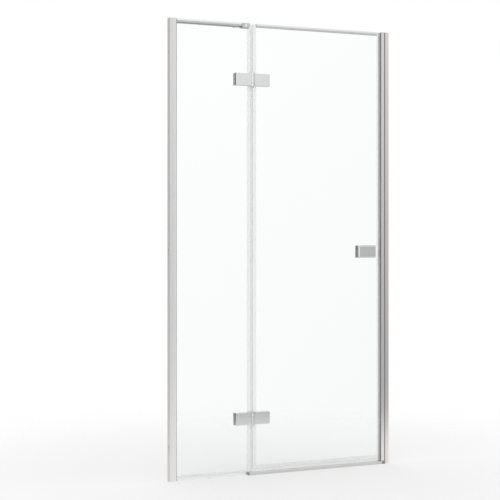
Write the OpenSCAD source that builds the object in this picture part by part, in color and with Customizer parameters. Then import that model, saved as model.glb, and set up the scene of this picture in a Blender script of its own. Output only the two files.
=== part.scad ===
// Glass swing door for an alcove shower: a narrow fixed pane, a wide leaf hung on it by two
// barrel hinges, a strike profile on the far wall, a sill strip and a square handle.
// X runs along the door from its middle, Y into the shower, Z up from the floor of the door.

/* [Overall] */
// Width of the whole door, from wall to wall
door_w = 1095; // [950:5:1300]
// Height of the whole door
door_h = 2000; // [1850:5:2200]
// Distance from the left wall to the hinge line
hinge_line = 396; // [340:2:520]
// Thickness of both glass panes
glass_t = 6; // [5:1:8]
// Drop of the glass below the top of the door
glass_drop = 4; // [3.5:0.5:5]
// Height of the fixed pane's lower edge
fixed_glass_base = 14; // [13.5:0.5:20]
// Height of the leaf's lower edge
leaf_glass_base = 24; // [22:0.5:32]
// Width of the ground edge of the glass
glass_bevel = 0.5; // [0.3:0.1:1]

/* [Wall profiles] */
// Depth of the wall profiles, front to back
profile_d = 28; // [27:0.5:36]
// Wall thickness of every profile
profile_t = 1.5; // [1.2:0.1:1.8]
// Play between two profiles that slide in each other
slide_gap = 0.4; // [0.3:0.1:0.5]
// Front face of the left profile, from the wall
left_face_w = 24; // [22:0.5:34]
// Glazing lip past the front face of the left profile
lip_w = 7; // [5:0.5:10]
// Depth of the pocket that holds the fixed glass
pocket_depth = 17; // [14:0.5:19]
// Gap between the fixed glass and the floor of its pocket
pocket_gap = 2; // [1:0.5:4]
// Thickness of the gasket on each side of the fixed glass
gasket_t = 3.5; // [2.5:0.5:4]
// Length of the gasket's bead past the glazing lip
bead_w = 6; // [4:0.5:8]
// Thickness of the bead at its thin end
bead_tip_t = 1; // [0.5:0.1:2]
// Rise of the bead over the inner face of the lip
bead_rise = 0.8; // [0.4:0.1:1.2]
// Reach of the left wall channel's flanges
left_channel_w = 20; // [18:0.5:21]
// Reach of the right wall channel's flanges
right_channel_w = 18.8; // [16:0.2:22]
// Groove between the right channel and the strike's head
strike_groove_w = 5; // [3:0.5:12]
// Width of the strike's head
strike_head_w = 16.2; // [14:0.2:24]
// Distance from the right wall to the end of the strike's neck
strike_neck_start = 4; // [2.5:0.5:8]
// Thickness of the profile end caps
cap_t = 2; // [1.5:0.5:3]
// Depth of the end caps' plugs
cap_plug_h = 12; // [6:1:20]
// Side play of the end caps' plugs
cap_plug_gap = 0.3; // [0.2:0.1:0.5]

/* [Wall and adjusting screws] */
// Radius of the screw holes in the wall channels
wall_hole_r = 3.25; // [2.5:0.25:4]
// Distance of the end wall holes from each end of the door
wall_hole_end = 150; // [80:10:300]
// Radius of the adjusting screws
adjust_r = 1.9; // [1.5:0.1:2.2]
// Radius of the adjusting screws' heads
adjust_head_r = 3.6; // [3:0.1:4.5]
// Radius of the hexagon socket in the adjusting screws' heads
adjust_hex_r = 1.2; // [0.8:0.1:1.4]
// Height of the adjusting screws' heads
adjust_head_h = 2.2; // [1.5:0.1:3]
// Distance of the adjusting screws from the wall
adjust_from_wall = 11; // [8:0.5:13]
// Distance of the end adjusting screws from each end of the door
adjust_end = 230; // [180:10:400]
// Length of an adjusting screw's tip past the inner profile
adjust_tip = 1.2; // [0.8:0.1:1.4]
// Radial clearance of screws, pins and bushes in their holes
fit_clear = 0.05; // [0.02:0.01:0.1]

/* [Top edge] */
// Height of the slim trim over the top edge of each pane
trim_h = 8; // [7:0.5:14]
// Wall thickness of the trim
trim_t = 1.2; // [1:0.1:1.4]
// Thickness of the gasket between the trim and the glass
trim_pad_t = 1; // [0.6:0.1:1.4]
// Height of the gasket's bead below the trim
trim_bead_h = 8; // [4:0.5:10]
// Clearance between pieces that end against each other
end_gap = 0.3; // [0.2:0.1:0.5]

/* [Clear seals] */
// Wall thickness of the clear seals
seal_t = 1.2; // [0.8:0.1:1.4]
// Grip of the two upright seals at the hinge line
hinge_seal_grip = 19; // [12:0.5:24]
// Open gap between the two seals at the hinge line
hinge_gap = 4; // [3:0.5:6]
// Lap of the fixed seal's fin behind the leaf
fin_lap = 3; // [2:0.5:6]
// Thickness of the fins
fin_t = 0.8; // [0.6:0.1:1.2]
// Clearance between the fin and the leaf's seal
fin_gap = 0.8; // [0.6:0.1:1.5]
// Grip of the magnetic seal on the leaf
magnet_seal_grip = 9; // [7:0.5:14]
// Width of the chamber that holds the leaf's magnet
magnet_chamber_w = 5; // [4:0.5:8]
// Gap between the closed leaf and the strike
closing_gap = 0.8; // [0.6:0.1:1.5]
// Half the breadth of the strike's magnet strip
strike_magnet_half = 5.9; // [4:0.1:6.5]
// Depth of the strike's magnet strip
strike_magnet_w = 6.2; // [3:0.1:8]
// Play of the magnets in their slots
magnet_play = 0.1; // [0.05:0.05:0.2]
// Distance of the leaf's magnet from each end of its seal
magnet_end = 1; // [0.5:0.5:10]
// Grip of the drip seal on the leaf's lower edge
drip_grip = 17; // [12:0.5:22]
// Gap between the drip seal and the sill
drip_gap = 0.4; // [0.3:0.1:1]
// Reach of the drip seal's slanted fin into the shower
drip_reach = 4; // [2:0.5:5]
// Grip of the fixed pane's bottom seal
base_seal_grip = 9; // [6:0.5:14]

/* [Sill] */
// Height of the sill strip
sill_h = 13; // [8:0.5:13]
// Reach of the sill in front of the glass
sill_front = 22; // [18:0.5:30]
// Reach of the sill behind the glass
sill_back = 14; // [12:0.5:24]
// Slope at the sill's front and back edges
sill_slope = 3.5; // [2:0.5:6]
// Wall thickness of the sill
sill_t = 1.5; // [1:0.1:2]
// Length of the sill past the hinge line
sill_lap = 20; // [8:0.5:21]
// Thickness of the sill's end caps
sill_cap_t = 1.5; // [1:0.1:2.5]

/* [Hinges] */
// Height of a hinge plate
hinge_h = 55; // [46:1:80]
// Width of a hinge, from its barrel's axis to either end
hinge_leaf_w = 83; // [60:1:110]
// Distance of each hinge's middle from its end of the door
hinge_end = 250; // [180:5:400]
// Thickness of a hinge plate
hinge_plate_t = 11.5; // [9:0.5:13]
// Thickness of the pads between the hinge plates and the glass
hinge_pad_t = 1.2; // [1.2:0.1:2]
// Width of the cut edges of the hinge plates
hinge_bevel = 1; // [0.5:0.1:2]
// Distance of the plates' inner ends from the hinge line
hinge_plate_gap = 3; // [2:0.5:4]
// Radius of the hinge barrel
barrel_r = 8.5; // [7:0.5:10]
// Height of the hinge barrel
barrel_h = 63; // [56:1:90]
// Height of the two outer knuckles
knuckle_h = 15; // [12:0.5:20]
// Clearance round the barrel
barrel_clear = 0.6; // [0.4:0.1:1]
// Lap of each knuckle's arm into its plate
arm_lap = 2; // [1.5:0.1:4]
// Radius of the hinge pin
pin_r = 3.5; // [2.5:0.25:4]
// Radius of the pin's head
pin_head_r = 5; // [4.5:0.25:6]
// Height of the pin's head
pin_head_h = 1.2; // [0.8:0.1:2]
// Wall thickness of the bushes' sleeves
bush_t = 1.45; // [1:0.05:2]
// Length of the bushes' sleeves
bush_sleeve_h = 10; // [5:0.5:12]
// Thickness of the bushes' flanges
bush_flange_t = 1; // [0.6:0.1:1.5]
// Radius of the bushes' flanges
bush_flange_r = 7.6; // [6:0.1:8]
// Running gap between a bush and a fixed knuckle
knuckle_gap = 0.15; // [0.1:0.05:0.4]
// Radius of the hinge screws
hinge_screw_r = 3; // [2:0.25:3.5]
// Radius of the hinge screws' countersunk heads
hinge_screw_head_r = 5.5; // [4.5:0.25:6.5]
// Radius of the hexagon socket in the hinge screws' heads
hinge_screw_hex_r = 2.3; // [1.2:0.1:2.4]
// Depth of the hexagon socket in the hinge screws' heads
hinge_screw_hex_h = 2.5; // [1.5:0.1:4]
// Depth of the hinge screws' thread in the outer plate
hinge_screw_grip = 7; // [4:0.5:8]
// Distance of the hinge screws from the barrel's axis
hinge_screw_x = 46; // [34:1:52]
// Distance between the two screws of a plate
hinge_screw_space = 30; // [24:1:34]
// Radius of the holes in the glass
glass_hole_r = 6; // [5:0.5:8]

/* [Handle] */
// Width of the handle
handle_w = 91; // [76:1:130]
// Height of the handle
handle_h = 56; // [44:1:90]
// Height of the handle's middle above the floor
handle_z = 984; // [850:1:1150]
// Distance of the handle from the closing edge of the leaf
handle_inset = 32; // [24:1:80]
// Depth of the outer handle block
handle_outer_d = 19; // [14:0.5:30]
// Depth of the inner handle block
handle_inner_d = 13; // [10:0.5:24]
// Width of the bright bevel round the handle's face
handle_bevel = 4; // [1:0.5:6]
// Thickness of the washers between the handle and the glass
handle_washer_t = 1; // [0.6:0.1:2]
// Radius of the washers between the handle and the glass
handle_washer_r = 12; // [9:0.5:16]
// Distance between the two handle bolts
handle_bolt_space = 50; // [36:1:54]
// Radius of the handle bolts
handle_bolt_r = 3; // [2:0.25:4]
// Depth of the handle bolts in the blocks
handle_bolt_grip = 8; // [5:0.5:9]
// Radius of the grub screws
grub_r = 2; // [1.5:0.1:2.5]
// Length of the grub screws in the handle
grub_l = 6; // [4:0.5:8]
// Radius of the hexagon socket in the grub screws
grub_hex_r = 1; // [0.7:0.1:1.2]
// Depth of the hexagon socket in the grub screws
grub_hex_h = 1; // [0.5:0.1:1.5]

/* [Support bar] */
// Height of the support bar's section
bar_h = 12.5; // [9:0.5:13]
// Depth of the support bar's section
bar_d = 8; // [6:0.5:12]
// Wall thickness of the support bar
bar_t = 1.5; // [1:0.1:2]
// Drop of the bar's middle below the top of the door
bar_drop = 13.2; // [12:0.2:20]
// Distance of the bar from the fixed glass
bar_stand = 8; // [7.5:0.5:12]
// Play of the bar in its sockets
bar_play = 0.1; // [0.05:0.05:0.2]
// Wall thickness of the sockets round the bar
socket_t = 2.3; // [1.6:0.1:3]
// Length of the sleeve beside the clamp
sleeve_l = 34; // [20:1:50]
// Length of the wall bracket's socket
bracket_l = 20; // [12:1:36]
// Thickness of the wall bracket's foot
bracket_foot_t = 2.5; // [2:0.1:4]
// Length of the wall bracket's foot below the socket
bracket_foot_h = 20; // [16:1:30]
// Radius of the wall bracket's screws
bracket_screw_r = 1.5; // [1.2:0.1:2]
// Distance of the wall bracket's upper screw below the socket
bracket_screw_drop = 6; // [4:0.5:7]
// Distance between the wall bracket's two screws
bracket_screw_space = 8; // [7:0.5:9]
// Length of the wall bracket's screws behind the profile's front plate
bracket_screw_tip = 1.5; // [0.5:0.1:2.2]
// Radius of the heads of the wall bracket's screws
bracket_screw_head_r = 2.1; // [2:0.1:2.3]
// Height of the heads of the wall bracket's screws
bracket_screw_head_h = 1.6; // [1:0.1:2]
// Length of the clamp along the glass
clamp_w = 36; // [28:1:50]
// Height of the clamp
clamp_h = 22; // [20:0.5:30]
// Drop of the clamp's top below the top of the door
clamp_drop = 0.5; // [0.3:0.1:1]
// Distance of the clamp from the free edge of the fixed glass
clamp_inset = 9.5; // [6:0.5:20]
// Thickness of the clamp's outer cheek
clamp_cheek_t = 6; // [5:0.5:10]
// Thickness of the pads between the clamp and the glass
clamp_pad_t = 1; // [0.6:0.1:2]
// Depth of the bar in the clamp
clamp_socket = 16; // [8:1:20]
// Radius of the clamp screw's thread
clamp_screw_r = 3; // [2:0.25:3.5]
// Radius of the clamp screw's head
clamp_screw_head_r = 6; // [5:0.5:8]
// Height of the clamp screw's head above the cheek
clamp_screw_rise = 0.8; // [0.3:0.1:1.5]
// Depth of the clamp screw's seat in the cheek
clamp_screw_seat = 1.5; // [1:0.1:2.5]

/* [Hidden] */
$fn = 64;

// Faces and edges along X
left_wall_x = -door_w / 2;
right_wall_x = door_w / 2;
hinge_x = left_wall_x + hinge_line;
fixed_edge_x = hinge_x - hinge_gap / 2 - seal_t;
leaf_edge_x = hinge_x + hinge_gap / 2 + seal_t;
strike_w = right_channel_w + strike_groove_w + strike_head_w;
strike_x = right_wall_x - strike_w;
leaf_end_x = strike_x - closing_gap;
leaf_glass_end_x = leaf_end_x - magnet_chamber_w - seal_t;
fixed_seal_start_x = fixed_edge_x - hinge_seal_grip;
leaf_seal_end_x = leaf_edge_x + hinge_seal_grip;
magnet_seal_start_x = leaf_glass_end_x - magnet_seal_grip;
bead_end_x = left_wall_x + left_face_w + lip_w + bead_w;

// Faces along Y, measured out from the middle of the glass
glass_half = glass_t / 2;
seal_half = glass_half + seal_t;
pocket_half = glass_half + gasket_t;
profile_half = profile_d / 2;
slide_half = profile_half - profile_t - slide_gap;
hinge_inner = glass_half + hinge_pad_t;
hinge_outer = hinge_inner + hinge_plate_t;
trim_inner = glass_half + trim_pad_t;
barrel_y = -(seal_half + end_gap + barrel_r);

// Heights
profile_top = door_h - cap_t;
glass_top = door_h - glass_drop;
seal_base = sill_h + drip_gap;
upper_hinge_z = door_h - hinge_end;
lower_hinge_z = hinge_end;

// Pocket of the left profile, from the wall
pocket_end = left_face_w + lip_w;
pocket_start = pocket_end - pocket_depth;
fixed_glass_start_x = left_wall_x + pocket_start + profile_t + pocket_gap;
cap_plug_half = slide_half - profile_t - cap_plug_gap;

// Sill and the seal beside it
sill_start_x = hinge_x - sill_lap;
sill_end_x = strike_x - end_gap;
base_seal_end_x = min(fixed_seal_start_x, sill_start_x - sill_cap_t) - end_gap;

// Hinge barrel
mid_knuckle_h = barrel_h - 2 * (knuckle_h + bush_flange_t + knuckle_gap);

// Support bar
bar_z = door_h - bar_drop;
bar_y0 = glass_half + bar_stand;
bar_y1 = bar_y0 + bar_d;
bar_start_x = left_wall_x + left_face_w + end_gap;
clamp_end_x = fixed_edge_x - clamp_inset;
clamp_start_x = clamp_end_x - clamp_w;
clamp_top = door_h - clamp_drop;
clamp_base = clamp_top - clamp_h;
clamp_slot = glass_half + clamp_pad_t;
clamp_back = bar_y1 + bar_play + socket_t;
clamp_cheek = clamp_slot + clamp_cheek_t;
clamp_mid_x = (clamp_start_x + clamp_end_x) / 2;
clamp_mid_z = (clamp_top + clamp_base) / 2;
socket_front_y = pocket_half + profile_t + end_gap;
sleeve_start_x = clamp_start_x - sleeve_l;

// Handle
handle_end_x = leaf_end_x - handle_inset;
handle_start_x = handle_end_x - handle_w;
handle_mid_x = (handle_start_x + handle_end_x) / 2;
handle_seat = glass_half + handle_washer_t;

chrome = [0.83, 0.83, 0.84];
chrome_dark = [0.62, 0.62, 0.63];
bright_trim = [0.9, 0.9, 0.91];
glass_tint = [0.86, 0.9, 0.9, 0.35];
clear_seal = [0.93, 0.94, 0.94, 0.6];
dark_rubber = [0.42, 0.42, 0.43];
nylon = [0.92, 0.92, 0.9];

// Block between its low and its high corner
module span_box(lo, hi) {
    translate(lo) cube(hi - lo);
}

// Rectangle between its low and its high corner
module span_rect(lo, hi) {
    translate(lo) square(hi - lo);
}

// Round bar along Y between two faces, tapered where the radii differ
module rod_y(x, z, y0, y1, r0, r1) {
    translate([x, y0, z]) rotate([-90, 0, 0]) cylinder(r1 = r0, r2 = r1, h = y1 - y0);
}

// Round bar along Z between two heights
module rod_z(x, y, z0, z1, r) {
    translate([x, y, z0]) cylinder(r = r, h = z1 - z0);
}

// Rectangle with its corners cut at 45 degrees
module bevel_outline(a, b, c) {
    polygon([[c, 0], [a - c, 0], [a, c], [a, b - c], [a - c, b], [c, b], [0, b - c], [0, c]]);
}

// Block between two corners with every edge cut at 45 degrees
module bevel_box(lo, hi, c) {
    s = hi - lo;
    translate(lo) intersection() {
        linear_extrude(s[2]) bevel_outline(s[0], s[1], c);
        translate([0, s[1], 0]) rotate([90, 0, 0]) linear_extrude(s[1]) bevel_outline(s[0], s[2], c);
        rotate([90, 0, 90]) linear_extrude(s[0]) bevel_outline(s[1], s[2], c);
    }
}

// Outline of a block whose far side, at b, has its two corners cut at 45 degrees
module face_bevel_outline(a, b, c) {
    polygon([[0, 0], [a, 0], [a, b - c], [a - c, b], [c, b], [0, b - c]]);
}

// Block that stands on a plane at seat and faces away from it, its face beveled all round;
// side is -1 for the outside of the door and 1 for the inside
module face_bevel_block(x0, x1, z0, z1, seat, depth, c, side) {
    mirror([0, side < 0 ? 1 : 0, 0]) translate([x0, seat, z0]) intersection() {
        linear_extrude(z1 - z0) face_bevel_outline(x1 - x0, depth, c);
        translate([x1 - x0, 0, 0]) rotate([0, -90, 0]) linear_extrude(x1 - x0)
            face_bevel_outline(z1 - z0, depth, c);
    }
}

// Copy of the shape on both sides of the glass
module both_sides() {
    for (side = [0, 1]) mirror([0, side, 0]) children();
}

// Upright extrusion of an outline drawn from the left wall
module left_extrusion(z0, z1) {
    translate([left_wall_x, 0, z0]) linear_extrude(z1 - z0) children();
}

// Upright extrusion of an outline drawn from the right wall
module right_extrusion(z0, z1) {
    translate([right_wall_x, 0, z0]) mirror([1, 0, 0]) linear_extrude(z1 - z0) children();
}

// U outline with its back on the wall
module channel_outline(half, reach) {
    difference() {
        span_rect([0, -half], [reach, half]);
        span_rect([profile_t, -half + profile_t], [reach + 1, half - profile_t]);
    }
}

// U outline of a clear seal that grips a glass edge; its web runs from
// the edge to web_x
module edge_seal_outline(grip_x, edge_x, web_x) {
    difference() {
        span_rect([min(grip_x, web_x), -seal_half], [max(grip_x, web_x), seal_half]);
        span_rect([min(grip_x - 1, edge_x), -glass_half], [max(grip_x + 1, edge_x), glass_half]);
    }
}

// Row of screw holes through a wall channel's back
module wall_holes() {
    for (z = [wall_hole_end, door_h / 2, door_h - wall_hole_end])
        translate([-1, 0, z]) rotate([0, 90, 0]) cylinder(r = wall_hole_r, h = profile_t + 2);
}

// Places of the screws that join a wall channel to the profile that slides in or over it
module adjust_places() {
    for (z = [adjust_end, door_h / 2, door_h - adjust_end]) translate([adjust_from_wall, 0, z]) children();
}

// Holes for the adjusting screws, on the inside of the door
module adjust_holes() {
    adjust_places() rod_y(0, 0, pocket_half + profile_t, profile_half + 1, adjust_r + fit_clear,
        adjust_r + fit_clear);
}

// One adjusting screw with its head on the profile's inner side
module adjusting_screw() {
    tip = slide_half - profile_t - adjust_tip;
    rod_y(0, 0, tip, profile_half + adjust_head_h / 2, adjust_r, adjust_r);
    difference() {
        rod_y(0, 0, profile_half, profile_half + adjust_head_h, adjust_head_r,
            adjust_head_r - adjust_head_h / 3);
        rod_y(0, 0, profile_half + adjust_head_h / 2, profile_half + adjust_head_h + 1,
            adjust_hex_r, adjust_hex_r, $fn = 6);
    }
}

module wall_channel_left() {
    color(chrome_dark) translate([left_wall_x, 0, 0]) difference() {
        linear_extrude(profile_top) channel_outline(slide_half, left_channel_w);
        wall_holes();
        adjust_holes();
    }
}

// Outline of the glazing profile: two skins over the wall channel, a front and the glass pocket
module glazing_outline() {
    difference() {
        union() {
            difference() {
                span_rect([end_gap, -profile_half], [left_face_w, profile_half]);
                span_rect([0, -profile_half + profile_t], [left_face_w - profile_t, profile_half - profile_t]);
            }
            span_rect([pocket_start, -pocket_half - profile_t], [pocket_end, pocket_half + profile_t]);
        }
        span_rect([pocket_start + profile_t, -pocket_half], [pocket_end + 1, pocket_half]);
    }
}

module glazing_profile_left() {
    color(chrome) difference() {
        left_extrusion(0, profile_top) glazing_outline();
        translate([left_wall_x, 0, 0]) adjust_holes();
        bracket_screw_places() rotate([0, 90, 0]) translate([0, 0, -profile_t - 1])
            cylinder(r = bracket_screw_r + fit_clear, h = profile_t + 2);
    }
}

// Gasket beside the glass, with a bead that tapers towards the glass past the lip
module glazing_gasket() {
    left_extrusion(0, profile_top) polygon([
        [pocket_start + profile_t + pocket_gap, glass_half],
        [pocket_end + bead_w, glass_half],
        [pocket_end + bead_w, glass_half + bead_tip_t],
        [pocket_end + end_gap, pocket_half + bead_rise],
        [pocket_end + end_gap, pocket_half],
        [pocket_start + profile_t + pocket_gap, pocket_half]
    ]);
}

module glazing_gasket_outer() {
    color(dark_rubber) mirror([0, 1, 0]) glazing_gasket();
}

module glazing_gasket_inner() {
    color(dark_rubber) glazing_gasket();
}

module adjusting_screws_left() {
    color(chrome) translate([left_wall_x, 0, 0]) adjust_places() adjusting_screw();
}

module profile_cap_left() {
    color(chrome_dark) {
        left_extrusion(profile_top, door_h) {
            span_rect([0, -profile_half], [left_face_w, profile_half]);
            span_rect([0, -pocket_half - profile_t], [pocket_end, pocket_half + profile_t]);
        }
        left_extrusion(profile_top - cap_plug_h, profile_top + cap_t / 2)
            span_rect([profile_t + cap_plug_gap, -cap_plug_half],
                [pocket_start - cap_plug_gap, cap_plug_half]);
    }
}

// Holes in a pane for the screws of both hinges; side is -1 for the fixed pane, 1 for the leaf
module hinge_glass_holes(side) {
    for (z = [lower_hinge_z, upper_hinge_z]) hinge_screw_places(side, z)
        rod_y(0, 0, -glass_t, glass_t, glass_hole_r, glass_hole_r);
}

module fixed_glass() {
    color(glass_tint) difference() {
        bevel_box([fixed_glass_start_x, -glass_half, fixed_glass_base],
            [fixed_edge_x, glass_half, glass_top], glass_bevel);
        hinge_glass_holes(-1);
    }
}

// Slim channel over the top edge of a pane
module top_trim(x0, x1) {
    span_box([x0, -trim_inner - trim_t, door_h - trim_t], [x1, trim_inner + trim_t, door_h]);
    both_sides() span_box([x0, trim_inner, door_h - trim_h], [x1, trim_inner + trim_t, door_h]);
}

// Gasket over the glass edge under a trim, with the bead that shows below the trim
module trim_gasket(x0, x1) {
    bead_top = door_h - trim_h;
    bead_base = bead_top - trim_bead_h;
    difference() {
        union() {
            span_box([x0, -trim_inner, bead_base], [x1, trim_inner, door_h - trim_t]);
            span_box([x0, -trim_inner - trim_t, bead_base], [x1, trim_inner + trim_t, bead_top]);
        }
        span_box([x0 - 1, -glass_half, bead_base - 1], [x1 + 1, glass_half, glass_top]);
    }
}

module fixed_top_trim() {
    color(bright_trim) top_trim(bead_end_x + end_gap, clamp_start_x - end_gap);
}

module fixed_trim_gasket() {
    color(dark_rubber) trim_gasket(bead_end_x + end_gap, clamp_start_x - end_gap);
}

// Room that both hinges need in the upright seals
module hinge_windows(x0, x1) {
    for (z = [lower_hinge_z, upper_hinge_z])
        span_box([x0 - 1, -profile_d, z - hinge_h / 2 - end_gap],
            [x1 + 1, profile_d, z + hinge_h / 2 + end_gap]);
}

module fixed_edge_seal() {
    web_x = fixed_edge_x + seal_t;
    fin_y = seal_half + fin_gap;
    seal_top = clamp_base - end_gap;
    color(clear_seal) difference() {
        translate([0, 0, seal_base]) linear_extrude(seal_top - seal_base) {
            edge_seal_outline(fixed_seal_start_x, fixed_edge_x, web_x);
            span_rect([fixed_edge_x, glass_half], [web_x, fin_y + fin_t]);
            span_rect([fixed_edge_x, fin_y], [web_x + hinge_gap + fin_lap, fin_y + fin_t]);
        }
        hinge_windows(fixed_seal_start_x, web_x + hinge_gap + fin_lap);
    }
}

module fixed_base_seal() {
    x0 = bead_end_x + end_gap;
    x1 = base_seal_end_x;
    color(clear_seal) difference() {
        span_box([x0, -seal_half, 0], [x1, seal_half, fixed_glass_base + base_seal_grip]);
        span_box([x0 - 1, -glass_half, fixed_glass_base],
            [x1 + 1, glass_half, fixed_glass_base + base_seal_grip + 1]);
        span_box([x0 - 1, -glass_half, seal_t], [x1 + 1, glass_half, fixed_glass_base - seal_t]);
    }
}

// Block along X round the support bar, with or without the bar's room in it
module bar_block(x0, x1, grow) {
    span_box([x0, bar_y0 - grow, bar_z - bar_h / 2 - grow], [x1, bar_y1 + grow, bar_z + bar_h / 2 + grow]);
}

module support_bar() {
    color(chrome_dark) difference() {
        bar_block(bar_start_x, clamp_start_x + clamp_socket, 0);
        bar_block(bar_start_x - 1, clamp_start_x + clamp_socket + 1, -bar_t);
    }
}

// Places of the two screws in the wall bracket's foot, between the glazing lip and the profile's skin
module bracket_screw_places() {
    y = (socket_front_y + profile_half - profile_t) / 2;
    z = bar_z - bar_h / 2 - bar_play - socket_t - bracket_screw_drop;
    for (drop = [0, bracket_screw_space]) translate([left_wall_x + left_face_w, y, z - drop]) children();
}

module support_bar_bracket() {
    foot_x = left_wall_x + left_face_w;
    socket_base = bar_z - bar_h / 2 - bar_play - socket_t;
    color(chrome) difference() {
        union() {
            span_box([foot_x, socket_front_y, socket_base],
                [foot_x + bracket_l, clamp_back, bar_z + bar_h / 2 + bar_play + socket_t]);
            span_box([foot_x, socket_front_y, socket_base - bracket_foot_h],
                [foot_x + bracket_foot_t, profile_half, socket_base + 1]);
        }
        bar_block(foot_x - 1, foot_x + bracket_l + 1, bar_play);
        bracket_screw_places() rotate([0, 90, 0]) translate([0, 0, -1])
            cylinder(r = bracket_screw_r + fit_clear, h = bracket_foot_t + 2);
        grub_place(foot_x + bracket_l / 2) rod_y(0, 0, bar_y1 - 1, clamp_back + 1, grub_r + fit_clear,
            grub_r + fit_clear);
    }
}

module bracket_screws() {
    color(chrome) bracket_screw_places() rotate([0, 90, 0]) {
        translate([0, 0, -profile_t - bracket_screw_tip]) cylinder(r = bracket_screw_r,
            h = profile_t + bracket_screw_tip + bracket_foot_t + bracket_screw_head_h / 2);
        translate([0, 0, bracket_foot_t]) cylinder(r1 = bracket_screw_head_r,
            r2 = bracket_screw_head_r - bracket_screw_head_h / 3, h = bracket_screw_head_h);
    }
}

// Place of a grub screw that holds the support bar from behind
module grub_place(x) {
    translate([x, 0, bar_z]) children();
}

module support_bar_sleeve() {
    color(chrome) difference() {
        bar_block(sleeve_start_x, clamp_start_x, bar_play + socket_t);
        bar_block(sleeve_start_x - 1, clamp_start_x + 1, bar_play);
        grub_place(sleeve_start_x + sleeve_l / 2) rod_y(0, 0, bar_y1 - 1, clamp_back + 1,
            grub_r + fit_clear, grub_r + fit_clear);
    }
}

// Room of the clamp screw in the outer cheek, grown by a clearance
module clamp_screw_shape(grow) {
    seat_y = -clamp_cheek + clamp_screw_seat + grow;
    rod_y(clamp_mid_x, clamp_mid_z, -clamp_cheek, seat_y, clamp_screw_head_r + grow, clamp_screw_head_r + grow);
    rod_y(clamp_mid_x, clamp_mid_z, -clamp_cheek, -clamp_slot, clamp_screw_r + grow, clamp_screw_r + grow);
}

module support_bar_clamp() {
    color(chrome) difference() {
        bevel_box([clamp_start_x, -clamp_cheek, clamp_base], [clamp_end_x, clamp_back, clamp_top],
            hinge_bevel);
        span_box([clamp_start_x - 1, -clamp_slot, clamp_base - 1],
            [clamp_end_x + 1, clamp_slot, glass_top + end_gap]);
        bar_block(clamp_start_x - 1, clamp_start_x + clamp_socket + end_gap, bar_play);
        clamp_screw_shape(fit_clear);
        grub_place(clamp_start_x + clamp_socket / 2) rod_y(0, 0, bar_y1 - 1, clamp_back + 1,
            grub_r + fit_clear, grub_r + fit_clear);
    }
}

module clamp_pads() {
    color(dark_rubber) both_sides()
        span_box([clamp_start_x + 1, glass_half, clamp_base + 1], [clamp_end_x - 1, clamp_slot, glass_top]);
}

module clamp_screw() {
    color(bright_trim) {
        clamp_screw_shape(0);
        rod_y(clamp_mid_x, clamp_mid_z, -clamp_cheek - clamp_screw_rise, -clamp_cheek,
            clamp_screw_head_r - clamp_screw_rise, clamp_screw_head_r);
    }
}

module support_grub_screws() {
    color(chrome_dark)
        for (x = [left_wall_x + left_face_w + bracket_l / 2, sleeve_start_x + sleeve_l / 2,
            clamp_start_x + clamp_socket / 2])
            grub_place(x) difference() {
                rod_y(0, 0, bar_y1, clamp_back, grub_r, grub_r);
                rod_y(0, 0, clamp_back - grub_hex_h, clamp_back + 1, grub_hex_r, grub_hex_r, $fn = 6);
            }
}

// Places of the screws of one hinge plate
module hinge_screw_places(side, z) {
    for (up = [-0.5, 0.5])
        translate([hinge_x + side * hinge_screw_x, 0, z + up * hinge_screw_space]) children();
}

// Room of a countersunk hinge screw, grown by a clearance
module hinge_screw_shape(grow) {
    head_h = hinge_screw_head_r - hinge_screw_r;
    rod_y(0, 0, -hinge_inner - hinge_screw_grip - grow, hinge_outer - head_h, hinge_screw_r + grow,
        hinge_screw_r + grow);
    rod_y(0, 0, hinge_outer - head_h, hinge_outer, hinge_screw_r + grow, hinge_screw_head_r + grow);
}

// Beveled slab of a hinge plate, before its knuckles; side is -1 for the fixed pane
module hinge_slab(side, z, y0, y1, gap) {
    ends = [hinge_x + side * hinge_leaf_w, hinge_x + side * gap];
    bevel_box([min(ends), y0, z - hinge_h / 2], [max(ends), y1, z + hinge_h / 2], hinge_bevel);
}

// Arm and knuckle between two heights, on the side of the fixed pane or of the leaf
module knuckle(side, z0, z1, arm_z0, arm_z1) {
    ends = [hinge_x, hinge_x + side * (barrel_r + barrel_clear + arm_lap)];
    rod_z(hinge_x, barrel_y, z0, z1, barrel_r);
    span_box([min(ends), -hinge_outer + hinge_bevel, arm_z0],
        [max(ends), barrel_y + barrel_r, arm_z1]);
}

module hinge_fixed_plate(z) {
    low = z - barrel_h / 2;
    high = z + barrel_h / 2;
    plate_low = z - hinge_h / 2 + hinge_bevel;
    plate_high = z + hinge_h / 2 - hinge_bevel;
    color(chrome) difference() {
        union() {
            difference() {
                hinge_slab(-1, z, -hinge_outer, -hinge_inner, hinge_plate_gap);
                rod_z(hinge_x, barrel_y, low - 1, high + 1, barrel_r + barrel_clear);
            }
            knuckle(-1, low, low + knuckle_h, plate_low, low + knuckle_h);
            knuckle(-1, high - knuckle_h, high, high - knuckle_h, plate_high);
        }
        rod_z(hinge_x, barrel_y, low - 1, high + 1, pin_r + fit_clear);
        hinge_screw_places(-1, z) hinge_screw_shape(fit_clear);
    }
}

module hinge_leaf_plate(z) {
    half = mid_knuckle_h / 2;
    color(chrome) difference() {
        union() {
            difference() {
                hinge_slab(1, z, -hinge_outer, -hinge_inner, hinge_plate_gap);
                rod_z(hinge_x, barrel_y, z - barrel_h, z + barrel_h, barrel_r + barrel_clear);
            }
            knuckle(1, z - half, z + half, z - half, z + half);
        }
        rod_z(hinge_x, barrel_y, z - barrel_h, z + barrel_h, pin_r + bush_t + 2 * fit_clear);
        hinge_screw_places(1, z) hinge_screw_shape(fit_clear);
    }
}

module hinge_clamp(side, z) {
    color(chrome) difference() {
        hinge_slab(side, z, hinge_inner, hinge_outer, hinge_plate_gap);
        hinge_screw_places(side, z) hinge_screw_shape(fit_clear);
    }
}

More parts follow.
